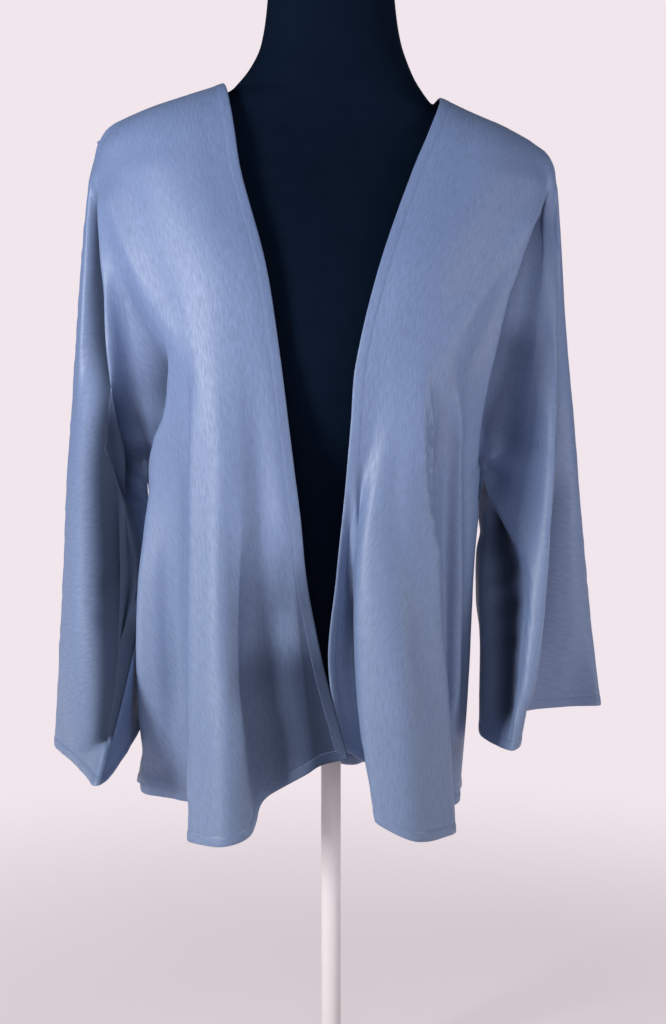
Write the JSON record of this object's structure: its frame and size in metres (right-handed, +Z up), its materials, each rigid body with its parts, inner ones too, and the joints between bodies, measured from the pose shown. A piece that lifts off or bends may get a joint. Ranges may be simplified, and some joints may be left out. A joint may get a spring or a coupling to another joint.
{
  "type": "kimono jacket on a dress form",
  "caption": "Open-fronted kimono jacket in blue satin crepe with cut-on sleeves, hung on a black limbless dress form with a pale stand.",
  "frame": {"origin": "middle of the underside of the stand's base", "axes": "+Z up along the stand's post, -Y out of the jacket's front, +X to the wearer's left"},
  "size_m": [0.5012, 0.2614, 1.019],
  "materials": {
    "crepe": "satin",
    "crepe_hem": "satin",
    "form_black": "matte",
    "stand_pale": "satin"
  },
  "bodies": {
    "root": {"front_right": "crepe", "front_left": "crepe", "back": "crepe", "front_band_right": "crepe_hem", "front_band_left": "crepe_hem", "hem_front_right": "crepe_hem", "hem_front_left": "crepe_hem", "hem_back": "crepe_hem", "cuff_front_right": "crepe_hem", "cuff_front_left": "crepe_hem", "cuff_back_right": "crepe_hem", "cuff_back_left": "crepe_hem", "form_torso": "form_black", "stand_post": "stand_pale", "stand_base": "stand_pale"}
  },
  "joints": []
}
